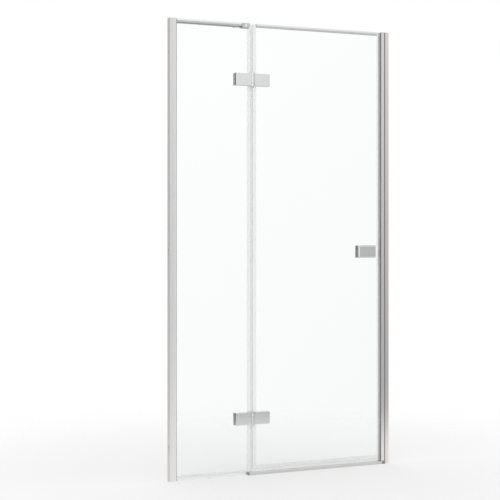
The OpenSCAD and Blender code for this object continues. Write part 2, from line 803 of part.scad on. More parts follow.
module hinge_pads(side, z) {
    near = max(hinge_plate_gap + hinge_bevel, hinge_gap / 2 + seal_t);
    ends = [hinge_x + side * (hinge_leaf_w - hinge_bevel), hinge_x + side * near];
    color(dark_rubber) difference() {
        both_sides() span_box([min(ends), glass_half, z - hinge_h / 2 + hinge_bevel],
            [max(ends), hinge_inner, z + hinge_h / 2 - hinge_bevel]);
        hinge_screw_places(side, z) rod_y(0, 0, -hinge_outer, hinge_outer, hinge_screw_r + end_gap,
            hinge_screw_r + end_gap);
    }
}

module hinge_screws(side, z) {
    color(chrome_dark) hinge_screw_places(side, z) difference() {
        hinge_screw_shape(0);
        rod_y(0, 0, hinge_outer - hinge_screw_hex_h, hinge_outer + 1, hinge_screw_hex_r,
            hinge_screw_hex_r, $fn = 6);
    }
}

module hinge_pin(z) {
    low = z - barrel_h / 2;
    color(chrome_dark) {
        rod_z(hinge_x, barrel_y, low - pin_head_h / 2, z + barrel_h / 2, pin_r);
        rod_z(hinge_x, barrel_y, low - pin_head_h, low, pin_head_r);
    }
}

module hinge_bushes(z) {
    half = mid_knuckle_h / 2;
    color(nylon) for (turn = [0, 1]) translate([0, 0, z]) mirror([0, 0, turn]) difference() {
        union() {
            rod_z(hinge_x, barrel_y, half, half + bush_flange_t, bush_flange_r);
            rod_z(hinge_x, barrel_y, half - bush_sleeve_h, half + bush_flange_t / 2,
                pin_r + fit_clear + bush_t);
        }
        rod_z(hinge_x, barrel_y, 0, half + barrel_h, pin_r + fit_clear);
    }
}

// Outline of the sill across the door, drawn inside its outer face by a wall thickness
module sill_outline(wall) {
    cut = sill_slope + wall * tan(22.5);
    polygon([
        [sill_back - wall, wall],
        [sill_back - wall, sill_h - cut],
        [sill_back - cut, sill_h - wall],
        [-sill_front + cut, sill_h - wall],
        [-sill_front + wall, sill_h - cut],
        [-sill_front + wall, wall]
    ]);
}

// Extrusion along X of an outline in Y and Z
module along_x(x0, x1) {
    translate([x0, 0, 0]) rotate([90, 0, 90]) linear_extrude(x1 - x0) children();
}

module sill_strip() {
    color(chrome) difference() {
        along_x(sill_start_x, sill_end_x) sill_outline(0);
        along_x(sill_start_x - 1, sill_end_x + 1) sill_outline(sill_t);
    }
}

module sill_end_caps() {
    color(chrome_dark) {
        along_x(sill_start_x - sill_cap_t, sill_start_x) sill_outline(0);
        intersection() {
            along_x(sill_end_x, strike_x + strike_head_w) sill_outline(0);
            span_box([sill_end_x, -sill_front, 0],
                [strike_x + strike_head_w, -profile_half - end_gap, sill_h]);
        }
    }
}

module wall_channel_right() {
    color(chrome) difference() {
        right_extrusion(0, profile_top) channel_outline(profile_half, right_channel_w);
        translate([right_wall_x, 0, 0]) mirror([1, 0, 0]) {
            wall_holes();
            adjust_holes();
        }
    }
}

module strike_profile() {
    head_start = right_channel_w + strike_groove_w;
    groove_half = strike_magnet_half + magnet_play;
    floor_w = strike_w - strike_magnet_w - magnet_play;
    color(chrome) difference() {
        right_extrusion(0, profile_top) difference() {
            union() {
                span_rect([head_start, -profile_half], [strike_w, profile_half]);
                span_rect([strike_neck_start, -slide_half], [head_start, slide_half]);
            }
            span_rect([strike_neck_start - 1, -slide_half + profile_t],
                [head_start, slide_half - profile_t]);
            difference() {
                span_rect([head_start + profile_t, -profile_half + profile_t],
                    [strike_w - profile_t, profile_half - profile_t]);
                span_rect([floor_w - profile_t, -groove_half - profile_t],
                    [strike_w, groove_half + profile_t]);
            }
            span_rect([floor_w, -groove_half], [strike_w + 1, groove_half]);
        }
        translate([right_wall_x, 0, 0]) mirror([1, 0, 0]) adjust_holes();
    }
}

module strike_magnet() {
    color(dark_rubber) right_extrusion(0, profile_top)
        span_rect([strike_w - strike_magnet_w, -strike_magnet_half],
            [strike_w - magnet_play, strike_magnet_half]);
}

module adjusting_screws_right() {
    color(chrome) translate([right_wall_x, 0, 0]) mirror([1, 0, 0]) adjust_places() adjusting_screw();
}

module profile_cap_right() {
    color(chrome_dark) {
        right_extrusion(profile_top, door_h)
            span_rect([0, -profile_half], [strike_w, profile_half]);
        right_extrusion(profile_top - cap_plug_h, profile_top + cap_t / 2)
            span_rect([profile_t + cap_plug_gap, -cap_plug_half],
                [right_channel_w + strike_groove_w - cap_plug_gap, cap_plug_half]);
    }
}

module leaf_glass() {
    color(glass_tint) difference() {
        bevel_box([leaf_edge_x, -glass_half, leaf_glass_base],
            [leaf_glass_end_x, glass_half, glass_top], glass_bevel);
        hinge_glass_holes(1);
        handle_bolt_places() rod_y(0, 0, -glass_t, glass_t, glass_hole_r, glass_hole_r);
    }
}

module leaf_top_trim() {
    color(bright_trim) top_trim(leaf_seal_end_x + end_gap, magnet_seal_start_x - end_gap);
}

module leaf_trim_gasket() {
    color(dark_rubber) trim_gasket(leaf_seal_end_x + end_gap, magnet_seal_start_x - end_gap);
}

module leaf_hinge_seal() {
    web_x = leaf_edge_x - seal_t;
    color(clear_seal) difference() {
        translate([0, 0, seal_base]) linear_extrude(glass_top - seal_base)
            edge_seal_outline(leaf_seal_end_x, leaf_edge_x, web_x);
        hinge_windows(web_x, leaf_seal_end_x);
    }
}

module leaf_magnet_seal() {
    chamber_x = leaf_glass_end_x + seal_t;
    color(clear_seal) translate([0, 0, seal_base]) linear_extrude(glass_top - seal_base)
        difference() {
            span_rect([magnet_seal_start_x, -seal_half], [leaf_end_x, seal_half]);
            span_rect([magnet_seal_start_x - 1, -glass_half], [leaf_glass_end_x, glass_half]);
            span_rect([chamber_x, -glass_half], [leaf_end_x - seal_t, glass_half]);
        }
}

module leaf_magnet() {
    color(dark_rubber) translate([0, 0, seal_base + magnet_end])
        linear_extrude(glass_top - seal_base - 2 * magnet_end)
            span_rect([leaf_glass_end_x + seal_t + magnet_play, -glass_half + magnet_play],
                [leaf_end_x - seal_t - magnet_play, glass_half - magnet_play]);
}

module leaf_drip_seal() {
    web_z = leaf_glass_base - seal_t;
    fin_z = seal_base + seal_t;
    color(clear_seal) along_x(leaf_seal_end_x + end_gap, magnet_seal_start_x - end_gap) {
        difference() {
            span_rect([-seal_half, web_z], [seal_half, leaf_glass_base + drip_grip]);
            span_rect([-glass_half, leaf_glass_base], [glass_half, leaf_glass_base + drip_grip + 1]);
        }
        span_rect([-seal_half, seal_base], [-seal_half + fin_t, web_z + seal_t / 2]);
        polygon([[seal_half - fin_t, web_z + seal_t / 2], [seal_half + drip_reach - fin_t, fin_z],
            [seal_half + drip_reach, fin_z], [seal_half, web_z + seal_t / 2]]);
    }
}

// Places of the bolts that hold the two handle blocks together
module handle_bolt_places() {
    for (side = [-0.5, 0.5]) translate([handle_mid_x + side * handle_bolt_space, 0, handle_z]) children();
}

module handle_outer() {
    color(chrome) difference() {
        face_bevel_block(handle_start_x, handle_end_x, handle_z - handle_h / 2, handle_z + handle_h / 2,
            handle_seat, handle_outer_d, handle_bevel, -1);
        handle_bolt_places() rod_y(0, 0, -handle_seat - handle_bolt_grip - fit_clear, -handle_seat + 1,
            handle_bolt_r + fit_clear, handle_bolt_r + fit_clear);
    }
}

module handle_inner() {
    bolt_y = handle_seat + handle_bolt_grip / 2;
    color(chrome) difference() {
        face_bevel_block(handle_start_x, handle_end_x, handle_z - handle_h / 2, handle_z + handle_h / 2,
            handle_seat, handle_inner_d, handle_bevel, 1);
        handle_bolt_places() {
            rod_y(0, 0, handle_seat - 1, handle_seat + handle_bolt_grip + fit_clear,
                handle_bolt_r + fit_clear, handle_bolt_r + fit_clear);
            rod_z(0, bolt_y, -handle_h / 2 - 1, 0, grub_r + fit_clear);
        }
    }
}

module handle_washers() {
    color(clear_seal) handle_bolt_places() both_sides() difference() {
        rod_y(0, 0, glass_half, handle_seat, handle_washer_r, handle_washer_r);
        rod_y(0, 0, glass_half - 1, handle_seat + 1, handle_bolt_r + end_gap, handle_bolt_r + end_gap);
    }
}

module handle_bolts() {
    color(chrome_dark) handle_bolt_places()
        rod_y(0, 0, -handle_seat - handle_bolt_grip, handle_seat + handle_bolt_grip, handle_bolt_r,
            handle_bolt_r);
}

module handle_grub_screws() {
    bolt_y = handle_seat + handle_bolt_grip / 2;
    top = -handle_bolt_r - fit_clear;
    color(chrome_dark) handle_bolt_places() difference() {
        rod_z(0, bolt_y, top - grub_l, top, grub_r);
        translate([0, bolt_y, top - grub_l - 1]) cylinder(r = grub_hex_r, h = grub_hex_h + 1, $fn = 6);
    }
}

wall_channel_left();
glazing_profile_left();
glazing_gasket_outer();
glazing_gasket_inner();
adjusting_screws_left();
profile_cap_left();
fixed_glass();
fixed_top_trim();
fixed_trim_gasket();
fixed_edge_seal();
fixed_base_seal();
support_bar();
support_bar_bracket();
bracket_screws();
support_bar_sleeve();
support_bar_clamp();
clamp_pads();
clamp_screw();
support_grub_screws();
hinge_fixed_plate(upper_hinge_z);  // upper_hinge_fixed_plate
hinge_clamp(-1, upper_hinge_z);  // upper_hinge_fixed_clamp
hinge_pads(-1, upper_hinge_z);  // upper_hinge_fixed_pads
hinge_screws(-1, upper_hinge_z);  // upper_hinge_fixed_screws
hinge_pin(upper_hinge_z);  // upper_hinge_pin
hinge_bushes(upper_hinge_z);  // upper_hinge_bushes
hinge_leaf_plate(upper_hinge_z);  // upper_hinge_leaf_plate
hinge_clamp(1, upper_hinge_z);  // upper_hinge_leaf_clamp
hinge_pads(1, upper_hinge_z);  // upper_hinge_leaf_pads
hinge_screws(1, upper_hinge_z);  // upper_hinge_leaf_screws
hinge_fixed_plate(lower_hinge_z);  // lower_hinge_fixed_plate
hinge_clamp(-1, lower_hinge_z);  // lower_hinge_fixed_clamp
hinge_pads(-1, lower_hinge_z);  // lower_hinge_fixed_pads
hinge_screws(-1, lower_hinge_z);  // lower_hinge_fixed_screws
hinge_pin(lower_hinge_z);  // lower_hinge_pin
hinge_bushes(lower_hinge_z);  // lower_hinge_bushes
hinge_leaf_plate(lower_hinge_z);  // lower_hinge_leaf_plate
hinge_clamp(1, lower_hinge_z);  // lower_hinge_leaf_clamp
hinge_pads(1, lower_hinge_z);  // lower_hinge_leaf_pads
hinge_screws(1, lower_hinge_z);  // lower_hinge_leaf_screws
sill_strip();
sill_end_caps();
wall_channel_right();
strike_profile();
strike_magnet();
adjusting_screws_right();
profile_cap_right();
leaf_glass();
leaf_top_trim();
leaf_trim_gasket();
leaf_hinge_seal();
leaf_magnet_seal();
leaf_magnet();
leaf_drip_seal();
handle_outer();
handle_inner();
handle_washers();
handle_bolts();
handle_grub_screws();
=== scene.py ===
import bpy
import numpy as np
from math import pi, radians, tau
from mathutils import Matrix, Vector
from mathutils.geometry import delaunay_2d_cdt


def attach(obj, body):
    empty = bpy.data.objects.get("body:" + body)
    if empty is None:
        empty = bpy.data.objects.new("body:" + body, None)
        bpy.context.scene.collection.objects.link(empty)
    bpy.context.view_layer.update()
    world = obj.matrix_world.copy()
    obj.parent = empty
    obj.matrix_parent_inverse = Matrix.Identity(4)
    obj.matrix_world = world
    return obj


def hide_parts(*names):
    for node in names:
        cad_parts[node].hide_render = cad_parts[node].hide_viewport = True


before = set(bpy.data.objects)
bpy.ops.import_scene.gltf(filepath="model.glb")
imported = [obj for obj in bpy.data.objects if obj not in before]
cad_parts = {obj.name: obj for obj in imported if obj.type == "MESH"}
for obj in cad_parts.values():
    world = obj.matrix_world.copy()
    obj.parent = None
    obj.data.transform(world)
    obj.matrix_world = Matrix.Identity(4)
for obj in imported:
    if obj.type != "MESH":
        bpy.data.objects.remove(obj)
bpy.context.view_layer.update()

# ---------------------------------------------------------------- left profile
# The glazing profile is a satin anodised aluminium extrusion, 24 mm across its face, that slides
# over a U channel, which is screwed on through its back. Its pocket holds the fixed pane between
# two rubber gaskets, and three screws inside lock it on the channel.

# The pieces are drawn in mm, and finish_piece turns them into metres.
MM_PER_M = 1000
LEFT_MOUNT = -547.5      # the flat back of the left channel, where it is screwed on
PROFILE_TOP = 1998
DOOR_TOP = 2000
RIM = 0.02               # breadth of the flat strip beside a rounding, which keeps the faces flat
TIGHTEST = 0.03          # smallest radius of a rounded corner that is drawn in


def drawn_in(outline):
    """Step inward at each point that moves both of its sides in by one:
    the sum of the two sides' normals over one plus their dot product."""
    ahead = np.roll(outline, -1, 0) - outline
    ahead /= np.linalg.norm(ahead, axis=1, keepdims=True)
    normal = np.stack([-ahead[:, 1], ahead[:, 0]], 1)
    before = np.roll(normal, 1, 0)
    return (normal + before) / (1 + (normal * before).sum(1, keepdims=True))


def rounded(corners, radius, steps=4):
    """Outline through the corners, as a function of how far it is drawn in.
    Drawn in by d, each corner moves by d * drawn_in, and its radius falls by d where it sticks
    out and grows by d where it is hollow. With A and B one radius back and ahead of the corner C,
    the curve is (1 - t)^2 A + 2 t (1 - t) C + t^2 B, and a flat strip of RIM leads in and out."""
    corners = np.asarray(corners, float)
    back = np.roll(corners, 1, 0) - corners
    ahead = np.roll(corners, -1, 0) - corners
    back /= np.linalg.norm(back, axis=1, keepdims=True)
    ahead /= np.linalg.norm(ahead, axis=1, keepdims=True)
    hollow = np.sign(back[:, 0] * ahead[:, 1] - back[:, 1] * ahead[:, 0])
    inward = drawn_in(corners)
    t = np.linspace(0, 1, steps + 1)[None, :, None]

    def outline(d):
        r = np.maximum(radius + d * hollow, TIGHTEST)[:, None]
        c = corners + d * inward
        a, b, m = (c + r * back)[:, None], (c + r * ahead)[:, None], c[:, None]
        curve = (1 - t) ** 2 * a + 2 * t * (1 - t) * m + t ** 2 * b
        lead_in, lead_out = a + RIM * back[:, None], b + RIM * ahead[:, None]
        return np.concatenate([lead_in, curve, lead_out], 1).reshape(-1, 2)

    return outline


def rounded_ends(start, end, radius):
    """Stations (place along the run, step inward) of a straight run whose ends are quarter rounds:
    along = r (1 - cos a), inward = r (1 - sin a), for a from 0 to 90 degrees in three steps, and
    the same at the end."""
    a = np.linspace(0, pi / 2, 4)
    near = np.stack([radius * (1 - np.cos(a)), radius * (1 - np.sin(a))], 1)
    near = np.vstack([[0, radius + RIM], near, [radius + RIM, 0]])
    return np.vstack([near + [start, 0], near[::-1] * [-1, 1] + [end, 0]])


def skinned(loops, along, axis):
    """Closed solid over rings of points. Each loop is one outline at every station (station,
    point, 2), the outer one anticlockwise and holes clockwise. Quads join each ring to the next,
    and flat triangles close the two ends."""
    count = sum(loop.shape[1] for loop in loops)
    stations = len(along)
    sides, rims, first = [], [], 0
    for loop in loops:
        i = np.arange(loop.shape[1])
        j = np.roll(i, -1)
        k = count * np.arange(stations - 1)[:, None] + first
        sides.append(np.stack([k + i, k + j, k + count + j, k + count + i], -1).reshape(-1, 4))
        rims.append((i + first).tolist())
        first += loop.shape[1]
    rings = np.concatenate(loops, 1)

    def end(ring):
        """Delaunay triangles between the loops, all anticlockwise."""
        inside_with_holes, closeness = 2, 1e-6
        centred = (ring - ring.mean(0)).tolist()
        found = delaunay_2d_cdt(centred, [], rims, inside_with_holes, closeness)
        triangles, sources = found[2], np.array([points[0] for points in found[3]])
        return sources[np.array(triangles)]

    along = np.broadcast_to(np.asarray(along, float)[:, None], rings.shape[:2])
    a, b = rings[..., 0], rings[..., 1]
    points = np.stack({"x": (along, a, b), "y": (a, along, b), "z": (a, b, along)}[axis], -1)
    ends = np.vstack([end(rings[0])[:, ::-1], end(rings[-1]) + (stations - 1) * count])
    sides = np.vstack(sides)
    if axis == "y":
        sides, ends = sides[:, ::-1], ends[:, ::-1]
    return points.reshape(-1, 3), sides.tolist() + ends.tolist()


def carried(outlines, stations, axis):
    """Solid of outlines carried along an axis, each drawn in at a station by that station's
    step."""
    along, inward = stations.T
    return skinned([np.stack([outline(d) for d in inward]) for outline in outlines], along, axis)


def together(*solids):
    """Several closed solids as one: the points end to end, each solid's faces moved on by the
    number of points before it."""
    points, faces, first = [], [], 0
    for p, f in solids:
        points.append(p)
        faces += [[first + i for i in face] for face in f]
        first += len(p)
    return np.vstack(points), faces


def finish_piece(name, solid, material, body, node):
    """Mesh object in metres that rides on a body and stands for a CAD node."""
    points, faces = solid
    mesh = bpy.data.meshes.new(name)
    mesh.from_pydata((np.asarray(points) / MM_PER_M).tolist(), [], faces)
    mesh.materials.append(material)
    mesh.shade_smooth()
    mesh.set_sharp_from_angle(angle=radians(30))
    piece = bpy.data.objects.new(name, mesh)
    bpy.context.scene.collection.objects.link(piece)
    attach(piece, body)
    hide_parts(node)
    return piece


def two_finishes(piece, second, where):
    """A second material on the faces whose middles, in mm, meet a condition."""
    mesh = piece.data
    mesh.materials.append(second)
    middles = np.empty(3 * len(mesh.polygons))
    mesh.polygons.foreach_get("center", middles)
    chosen = where(middles.reshape(-1, 3) * MM_PER_M)
    mesh.polygons.foreach_set("material_index", chosen.astype(int))
    mesh.update()


def dress(material, *nodes):
    """Material of CAD nodes whose shape stays as it is."""
    for node in nodes:
        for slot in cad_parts[node].material_slots:
            slot.material = material


def surface(name, colour, **sockets):
    """Principled material with its constants on the shader's own sockets."""
    material = bpy.data.materials.new(name)
    material.use_nodes = True
    shader = material.node_tree.nodes["Principled BSDF"]
    shader.inputs["Base Color"].default_value = (*colour, 1)
    for socket, value in sockets.items():
        shader.inputs[socket.replace("_", " ")].default_value = value
    return material


def grain(material, cells, detail=3.0):
    """Noise on Object coordinates, with its cells per metre along each axis."""
    nodes, links = material.node_tree.nodes, material.node_tree.links
    place = nodes.new("ShaderNodeTexCoord")
    scale = nodes.new("ShaderNodeMapping")
    scale.inputs["Scale"].default_value = cells
    noise = nodes.new("ShaderNodeTexNoise")
    noise.inputs["Scale"].default_value = 1.0
    noise.inputs["Detail"].default_value = detail
    links.new(place.outputs["Object"], scale.inputs["Vector"])
    links.new(scale.outputs["Vector"], noise.inputs["Vector"])
    return noise.outputs["Fac"]


def drawn_cells(along, length, breadth):
    """Cells per metre of a grain: few along the extrusion, and many across it."""
    return [length if axis == along else breadth for axis in "xyz"]


def ranged(tree, value, taken, given, ease="LINEAR"):
    """Map Range node: a value that runs over one span becomes one that runs over another."""
    node = tree.nodes.new("ShaderNodeMapRange")
    node.interpolation_type = ease
    for socket, number in zip(("From Min", "From Max", "To Min", "To Max"), (*taken, *given)):
        node.inputs[socket].default_value = number
    tree.links.new(value, node.inputs["Value"])
    return node.outputs["Result"]


def ramped(tree, value, places, colours):
    """Colour Ramp node: two colours at two places of a value."""
    node = tree.nodes.new("ShaderNodeValToRGB")
    for stop, place, colour in zip(node.color_ramp.elements, places, colours):
        stop.position = place
        stop.color = (*colour, 1)
    tree.links.new(value, node.inputs["Fac"])
    return node.outputs["Color"]


NOISE_SPAN = (0.3, 0.7)  # nearly all of a grain's noise lies between these two


def spread(material, noise, low, high, socket):
    """A grain's noise on a socket of the shader, between two values."""
    tree = material.node_tree
    tree.links.new(ranged(tree, noise, NOISE_SPAN, (low, high)),
                   tree.nodes["Principled BSDF"].inputs[socket])


def tinted(material, noise, step):
    """Base colour made darker and lighter by a step, following a grain's noise."""
    tree = material.node_tree
    base = tree.nodes["Principled BSDF"].inputs["Base Color"]
    shades = [[channel + change for channel in base.default_value[:3]] for change in (-step, step)]
    tree.links.new(ramped(tree, noise, NOISE_SPAN, shades), base)


def relief(material, noise, height):
    """Bump whose relief is a height in metres."""
    nodes, links = material.node_tree.nodes, material.node_tree.links
    bump = nodes.new("ShaderNodeBump")
    bump.inputs["Strength"].default_value = 1.0
    bump.inputs["Distance"].default_value = height
    links.new(noise, bump.inputs["Height"])
    links.new(bump.outputs["Normal"], nodes["Principled BSDF"].inputs["Normal"])


def drawn_aluminium(name, along, colour, metallic, dullest, glossiest, lines=0.000004):
    """Aluminium with faint die lines along one axis of the extrusion, and a softly uneven gloss.
    The lines' height is in metres."""
    metal = surface(name, colour, Metallic=metallic, Roughness=(dullest + glossiest) / 2)
    die_lines = grain(metal, drawn_cells(along, 2.0, 900))
    spread(metal, die_lines, glossiest, dullest, "Roughness")
    tinted(metal, grain(metal, drawn_cells(along, 1.2, 160)), 0.02)
    relief(metal, die_lines, lines)
    return metal


# The face has a soft satin gloss, and its narrow glazing lip is painted lighter as a highlight.
# The channel inside is left pale and matt from the die.
satin_aluminium = drawn_aluminium("satin aluminium", "z", (0.895, 0.885, 0.88), 1.0, 0.50, 0.38)
lip_highlight_aluminium = drawn_aluminium("lip aluminium with painted highlight", "z", (0.96, 0.955, 0.95), 0.3, 0.45, 0.33)
mill_aluminium = drawn_aluminium("mill finish aluminium", "z", (0.66, 0.655, 0.65), 0.3, 0.7, 0.55)


def soft_rubber(name, tone):
    """Rubber with a fine grain and no shine, at a tone between 0 and 1."""
    rubber = surface(name, (tone, tone, tone + 0.005), Roughness=0.6)
    pores = grain(rubber, (700, 700, 700))
    spread(rubber, pores, 0.5, 0.7, "Roughness")
    tinted(rubber, grain(rubber, (90, 90, 30)), 0.04)
    relief(rubber, pores, 0.00004)
    return rubber


gasket_rubber = soft_rubber("grey gasket rubber", 0.58)

# Stainless screws: turned, so the gloss varies in fine rings and scratches.
screw_steel = surface("stainless screw steel", (0.60, 0.595, 0.59), Metallic=1.0, Roughness=0.28)
turning = grain(screw_steel, (2500, 2500, 2500))
spread(screw_steel, turning, 0.2, 0.38, "Roughness")
tinted(screw_steel, grain(screw_steel, (300, 300, 300)), 0.06)
relief(screw_steel, turning, 0.00001)

profile_corners = [(0.3, -14), (24, -14), (24, -8), (31, -8), (31, -6.5), (15.5, -6.5),
                   (15.5, 6.5), (31, 6.5), (31, 8), (24, 8), (24, 14), (0.3, 14), (0.3, 12.5),
                   (22.5, 12.5), (22.5, 8), (14, 8), (14, -8), (22.5, -8), (22.5, -12.5),
                   (0.3, -12.5)]
LIP_START, LIP_BACK = 24.5, -7.5         # the lip lies beyond the first, in front of the second


def from_left_mount(corners):
    """Corners measured from the left channel's back."""
    return np.array(corners) + [LEFT_MOUNT, 0]


left_profile = finish_piece(
    "left_profile_extrusion",
    carried([rounded(from_left_mount(profile_corners), 0.4)],
            rounded_ends(0, PROFILE_TOP, 0.3), "z"),
    satin_aluminium, "frame", "glazing_profile_left")
# The lip's faces get the lighter aluminium, a painted highlight along its edge.
two_finishes(
    left_profile, lip_highlight_aluminium,
    lambda middles: (middles[:, 0] > LEFT_MOUNT + LIP_START) & (middles[:, 1] < LIP_BACK))

gasket_corners = np.array([(17.5, 3.05), (37, 3.05), (37, 4), (31.3, 7.3), (31.3, 6.5),
                           (17.5, 6.5)])
for side, half in (("outer", -1), ("inner", 1)):
    corners = gasket_corners if half > 0 else (gasket_corners * [1, -1])[::-1]
    finish_piece(
        "left_gasket_" + side,
        carried([rounded(from_left_mount(corners), 0.25)],
                rounded_ends(0, PROFILE_TOP, 0.2), "z"),
        gasket_rubber, "frame", "glazing_gasket_" + side)

PLUG_FOOT, PLUG_TOP = 1986, 1999


def end_cap(name, plate_corners, plug_corners, metal, node):
    """Plate over a profile's end, and a plug in its channel that runs up into the plate: two
    outlines carried along Z."""
    finish_piece(
        name,
        together(
            carried([rounded(plate_corners, 0.5)], rounded_ends(PROFILE_TOP, DOOR_TOP, 0.5), "z"),
            carried([rounded(plug_corners, 0.5)], rounded_ends(PLUG_FOOT, PLUG_TOP, 0.4), "z")),
        metal, "frame", node)


cap_corners = [(0, -14), (24, -14), (24, -8), (31, -8), (31, 8), (24, 8), (24, 14), (0, 14)]
plug_corners = [(1.8, -10.3), (13.7, -10.3), (13.7, 10.3), (1.8, 10.3)]
end_cap("left_profile_cap", from_left_mount(cap_corners), from_left_mount(plug_corners),
        satin_aluminium, "profile_cap_left")

dress(mill_aluminium, "wall_channel_left")
dress(screw_steel, "adjusting_screws_left")

# ---------------------------------------------------------------- fixed pane
# Toughened clear glass, 6 mm thick, its edges ground. A slim bright trim on a gasket covers
# its top edge, and clear plastic seals are pushed on its free edge and its lower edge.

PANE_LEFT = -510.2       # where the pane leaves its pocket
SEAL_FOOT = 13.4


def put(tree, value, socket):
    """A node's output linked to a socket, or a number or colour set on it."""
    if isinstance(value, bpy.types.NodeSocket):
        tree.links.new(value, socket)
    else:
        socket.default_value = value


def computed(tree, operation, *values):
    """Math node on links and numbers."""
    node = tree.nodes.new("ShaderNodeMath")
    node.operation = operation
    for value, socket in zip(values, node.inputs):
        put(tree, value, socket)
    return node.outputs["Value"]


# Clear float glass: almost no colour, and a very long, shallow wave from the rollers.
pane_glass = surface("clear pane glass", (0.985, 0.993, 0.99), Roughness=0.0,
                     Transmission_Weight=1.0, IOR=1.5)
relief(pane_glass, grain(pane_glass, (2.2, 2.2, 5.0), 1.0), 0.00006)

# Its edges and holes are ground: pale and matt wherever the surface doesn't face across the pane.
tree = pane_glass.node_tree
facing = tree.nodes.new("ShaderNodeTexCoord")
across = tree.nodes.new("ShaderNodeSeparateXYZ")
tree.links.new(facing.outputs["Normal"], across.inputs["Vector"])
squareness = computed(tree, "ABSOLUTE", across.outputs["Y"])
for socket, polished, ground in (("Transmission Weight", 1.0, 0.35), ("Roughness", 0.0, 0.5)):
    tree.links.new(ranged(tree, squareness, (0.7, 0.9), (ground, polished)),
                   tree.nodes["Principled BSDF"].inputs[socket])


def seal_plastic(name, along):
    """Clear soft plastic, milky where it is seen edge on, with faint lines along its extrusion."""
    plastic = surface(name, (0.96, 0.97, 0.97), Roughness=0.16, IOR=1.4)
    drawn_lines = grain(plastic, drawn_cells(along, 2.0, 800))
    spread(plastic, drawn_lines, 0.1, 0.24, "Roughness")
    spread(plastic, grain(plastic, drawn_cells(along, 1.5, 400)), 0.11, 0.17, "Alpha")
    tinted(plastic, grain(plastic, drawn_cells(along, 3.0, 60)), 0.015)
    relief(plastic, drawn_lines, 0.00001)
    return plastic


clear_plastic = seal_plastic("clear seal plastic", "z")
level_plastic = seal_plastic("clear seal plastic along the door", "x")

trim_aluminium = drawn_aluminium(
    "bright trim aluminium", "x", (0.94, 0.935, 0.93), 1.0, 0.26, 0.16)

trim_corners = [(-5.2, 1992), (-4, 1992), (-4, 1998.8), (4, 1998.8), (4, 1992), (5.2, 1992),
                (5.2, 2000), (-5.2, 2000)]
bead_corners = [(-5.2, 1984), (-3.05, 1984), (-3.05, 1996.05), (3.05, 1996.05), (3.05, 1984),
                (5.2, 1984), (5.2, 1992), (4, 1992), (4, 1998.8), (-4, 1998.8), (-4, 1992),
                (-5.2, 1992)]


def top_edge(pane, body, start, end):
    """Trim and gasket outlines in Y and Z, carried along X from start to end."""
    finish_piece(
        pane + "_trim_cap",
        carried([rounded(trim_corners, 0.35)], rounded_ends(start, end, 0.3), "x"),
        trim_aluminium, body, pane + "_top_trim")
    finish_piece(
        pane + "_trim_rubber",
        carried([rounded(bead_corners, 0.3)], rounded_ends(start, end, 0.25), "x"),
        gasket_rubber, body, pane + "_trim_gasket")


top_edge("fixed", "frame", PANE_LEFT, -200.5)

# The upright seals stop at the hinges, so each is cut in three lengths.
LOWER_LENGTHS = ((SEAL_FOOT, 222.2), (277.8, 1722.2))
ABOVE_HINGES = 1777.8


def cut_seal(corners, top):
    """A seal's outline carried along Z in its three lengths."""
    return together(*[carried([rounded(corners, 0.3)], rounded_ends(low, high, 0.25), "z")
                      for low, high in (*LOWER_LENGTHS, (ABOVE_HINGES, top))])


edge_seal_corners = [(-173.7, -4.2), (-153.5, -4.2), (-153.5, 5), (-146.5, 5), (-146.5, 5.8),
                     (-154.7, 5.8), (-154.7, 4.2), (-173.7, 4.2), (-173.7, 3.05),
                     (-154.65, 3.05), (-154.65, -3.05), (-173.7, -3.05)]
finish_piece("fixed_pane_edge_seal", cut_seal(edge_seal_corners, 1977.2),
             clear_plastic, "frame", "fixed_edge_seal")

base_seal_corners = [(-4.2, 0), (4.2, 0), (4.2, 23), (3.05, 23), (3.05, 13.95), (-3.05, 13.95),
                     (-3.05, 23), (-4.2, 23)]
base_seal_chamber = [(-3, 1.2), (-3, 12.8), (3, 12.8), (3, 1.2)]
finish_piece(
    "fixed_pane_base_seal",
    carried([rounded(base_seal_corners, 0.3), rounded(base_seal_chamber, 0.5)],
            rounded_ends(PANE_LEFT, -174.0, 0.25), "x"),
    level_plastic, "frame", "fixed_base_seal")

dress(pane_glass, "fixed_glass")

# ---------------------------------------------------------------- support bar
# A chromed flat tube that braces the fixed pane to the left profile, just inside the glass.
# Its bracket is screwed to the profile, a sleeve slides over its end, and a clamp saddles the
# top of the pane; grub screws from inside hold the tube, and a round screw closes the clamp.

BRACKET_LEFT = -523.5
CLAMP_LEFT, CLAMP_RIGHT = -200.2, -164.2


def chrome_plate(name, tone, sharpest, dullest):
    """Chrome plate at a tone between 0 and 1, barely waved by polishing, between two
    roughnesses."""
    plate = surface(name, (tone, tone, tone + 0.005), Metallic=1.0,
                    Roughness=(sharpest + dullest) / 2)
    polish = grain(plate, (45, 45, 45), 2.0)
    spread(plate, grain(plate, (400, 400, 400)), sharpest, dullest, "Roughness")
    tinted(plate, polish, 0.015)
    relief(plate, polish, 0.00002)
    return plate


# Nearly everything is polished. The clamp is satin plated, and its plating is painted darker as
# shade, so that its bright screw stands out.
chrome = chrome_plate("polished chrome", 0.80, 0.05, 0.11)
satin_shaded_chrome = chrome_plate("satin chrome with painted shade", 0.60, 0.12, 0.2)


def box_corners(a0, b0, a1, b1):
    """Corners of a rectangle between two opposite corners, anticlockwise."""
    return [(a0, b0), (a1, b0), (a1, b1), (a0, b1)]


def hole(a, b, radius):
    """Clockwise circle of 32 points, centre + (radius + d) (cos t, -sin t), as a function of its
    step outward d."""
    t = np.arange(32) * tau / 32
    return lambda d: np.stack([a + (radius + d) * np.cos(t), b - (radius + d) * np.sin(t)], 1)


